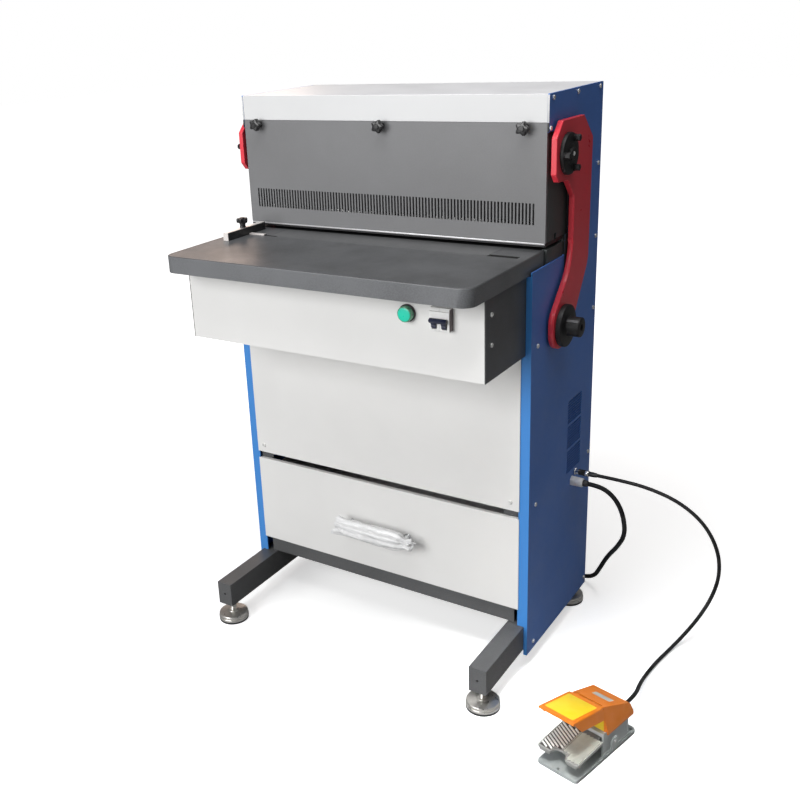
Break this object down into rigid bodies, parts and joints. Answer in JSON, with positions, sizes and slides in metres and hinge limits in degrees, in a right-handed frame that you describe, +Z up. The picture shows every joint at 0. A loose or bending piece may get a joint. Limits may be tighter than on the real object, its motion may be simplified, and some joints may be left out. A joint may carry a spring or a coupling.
{
  "type": "wire binding punch machine",
  "caption": "Free-standing motor-driven punching machine for wire binding, with a work table, drawer, side connecting rods and a cabled foot pedal.",
  "frame": {"origin": "point on the floor midway between the side panels and midway between the cabinet's front and back", "axes": "+X to the operator's right, +Y away from the operator, +Z up"},
  "size_m": [0.9557, 0.7133, 1.05],
  "materials": {
    "dark_grey_paint": "satin powder coat",
    "navy_panel": "satin",
    "white_paint": "satin powder coat",
    "zinc_plated": "zinc plated",
    "chrome": "polished",
    "green_lens": "clear",
    "white_plastic": "matte",
    "navy_plastic": "gloss",
    "aluminium": "satin",
    "black_plastic": "matte",
    "red_paint": "semi gloss",
    "blackened_steel": "blackened",
    "bright_steel": "ground",
    "cast_iron": "as cast",
    "grey_cast": "hammered paint",
    "orange_plastic": "gloss",
    "black_rubber": "matte"
  },
  "bodies": {
    "frame": {"leg_tubes": "dark_grey_paint", "cross_beams": "dark_grey_paint", "leg_end_caps": "dark_grey_paint", "left_side_panel": "navy_panel", "right_side_panel": "navy_panel", "upper_front_panel": "white_paint", "back_panel": "white_paint", "cabinet_shelves": "zinc_plated", "drawer_runners": "zinc_plated", "top_cover": "white_paint", "fascia_panel": "white_paint", "fascia_side_plates": "dark_grey_paint", "indicator_bezel": "black_plastic", "indicator_lens": "green_lens", "breaker_body": "white_plastic", "table_top": "dark_grey_paint", "table_insert": "dark_grey_paint", "front_hood": "dark_grey_paint", "shaft_bearings": "cast_iron", "head_frame": "blackened_steel", "die_block": "blackened_steel", "drive_belt": "black_rubber", "motor_body": "grey_cast", "foot_cable_socket": "chrome", "cable_gland": "white_plastic", "panel_screws": "zinc_plated", "pedal_base": "grey_cast", "pedal_guard": "orange_plastic", "pedal_pins": "bright_steel", "pedal_spring": "bright_steel", "pedal_switch": "black_plastic", "pedal_gland": "black_plastic", "foot_cable": "black_rubber", "power_cable": "black_rubber", "power_cable_coil": "black_rubber", "power_plug": "black_rubber"},
    "drawer": {"drawer_front": "white_paint", "drawer_tray": "white_paint", "drawer_handle": "chrome"},
    "breaker_lever": {"breaker_toggle": "navy_plastic"},
    "side_guide": {"side_guide": "aluminium"},
    "guide_knob": {"guide_knob": "black_plastic"},
    "hood_knob_left": {"hood_knob_left": "black_plastic"},
    "hood_knob_centre": {"hood_knob_centre": "black_plastic"},
    "hood_knob_right": {"hood_knob_right": "black_plastic"},
    "press": {"press_beam": "blackened_steel", "punch_pins": "bright_steel", "right_connecting_rod": "red_paint", "left_connecting_rod": "red_paint", "rod_hubs": "blackened_steel"},
    "shaft": {"eccentric_shaft": "bright_steel", "shaft_end_hubs": "blackened_steel"},
    "flywheel": {"flywheel": "cast_iron"},
    "rotor": {"motor_rotor": "bright_steel"},
    "pedal_tread": {"pedal_plate": "aluminium"},
    "pedal_flap": {"pedal_flap": "orange_plastic"},
    "foot_front_left": {"levelling_foot_front_left": "chrome"},
    "foot_front_right": {"levelling_foot_front_right": "chrome"},
    "foot_rear_left": {"levelling_foot_rear_left": "chrome"},
    "foot_rear_right": {"levelling_foot_rear_right": "chrome"}
  },
  "joints": [
    {"name": "drawer_slide", "type": "slide", "parent": "frame", "child": "drawer", "axis": [0, -1, 0], "range_m": [0, 0.23]},
    {"name": "breaker_switch", "type": "hinge", "parent": "frame", "child": "breaker_lever", "pos_m": [0.229, -0.313, 0.717], "axis": [1, 0, 0], "range_deg": [0, 100]},
    {"name": "side_guide_slide", "type": "slide", "parent": "frame", "child": "side_guide", "axis": [1, 0, 0], "range_m": [0, 0.015]},
    {"name": "guide_knob_turn", "type": "hinge", "parent": "side_guide", "child": "guide_knob", "pos_m": [-0.275, -0.167, 0.815], "axis": [0, 0, 1], "continuous": true},
    {"name": "main_shaft_turn", "type": "hinge", "parent": "frame", "child": "shaft", "pos_m": [0, -0.0465, 0.656], "axis": [1, 0, 0], "range_deg": [0, 180]},
    {"name": "press_stroke", "type": "slide", "parent": "frame", "child": "press", "axis": [0, 0, 1], "range_m": [-0.01, 0]},
    {"name": "flywheel_spin", "type": "hinge", "parent": "frame", "child": "flywheel", "pos_m": [-0.20724, -0.0465, 0.656], "axis": [1, 0, 0], "continuous": true},
    {"name": "motor_spin", "type": "hinge", "parent": "frame", "child": "rotor", "pos_m": [-0.20724, 0.04, 0.411], "axis": [1, 0, 0], "continuous": true},
    {"name": "pedal_press", "type": "hinge", "parent": "frame", "child": "pedal_tread", "pos_m": [0.49164, -0.27303, 0.022], "axis": [0.9732, -0.23, 0], "range_deg": [0, 5], "stiffness_Nm_per_rad": 15, "springref_deg": -3.44},
    {"name": "pedal_flap_hinge", "type": "hinge", "parent": "frame", "child": "pedal_flap", "pos_m": [0.48589, -0.29736, 0.094], "axis": [-0.9732, 0.23, 0], "range_deg": [0, 50]},
    {"name": "hood_knob_left_turn", "type": "hinge", "parent": "frame", "child": "hood_knob_left", "pos_m": [-0.274, -0.1, 0.9972], "axis": [0, 1, 0], "continuous": true},
    {"name": "hood_knob_centre_turn", "type": "hinge", "parent": "frame", "child": "hood_knob_centre", "pos_m": [0, -0.1, 0.9972], "axis": [0, 1, 0], "continuous": true},
    {"name": "hood_knob_right_turn", "type": "hinge", "parent": "frame", "child": "hood_knob_right", "pos_m": [0.274, -0.1, 0.9972], "axis": [0, 1, 0], "continuous": true},
    {"name": "foot_front_left_turn", "type": "hinge", "parent": "frame", "child": "foot_front_left", "pos_m": [-0.2895, -0.286, 0.02], "axis": [0, 0, 1], "continuous": true},
    {"name": "foot_front_right_turn", "type": "hinge", "parent": "frame", "child": "foot_front_right", "pos_m": [0.2895, -0.286, 0.02], "axis": [0, 0, 1], "continuous": true},
    {"name": "foot_rear_left_turn", "type": "hinge", "parent": "frame", "child": "foot_rear_left", "pos_m": [-0.2895, 0.12, 0.02], "axis": [0, 0, 1], "continuous": true},
    {"name": "foot_rear_right_turn", "type": "hinge", "parent": "frame", "child": "foot_rear_right", "pos_m": [0.2895, 0.12, 0.02], "axis": [0, 0, 1], "continuous": true}
  ],
  "couplings": [
    {"joint": "press_stroke", "follows": "main_shaft_turn", "m_per_rad": -0.003183},
    {"joint": "motor_spin", "follows": "flywheel_spin", "ratio": 3.0484}
  ]
}
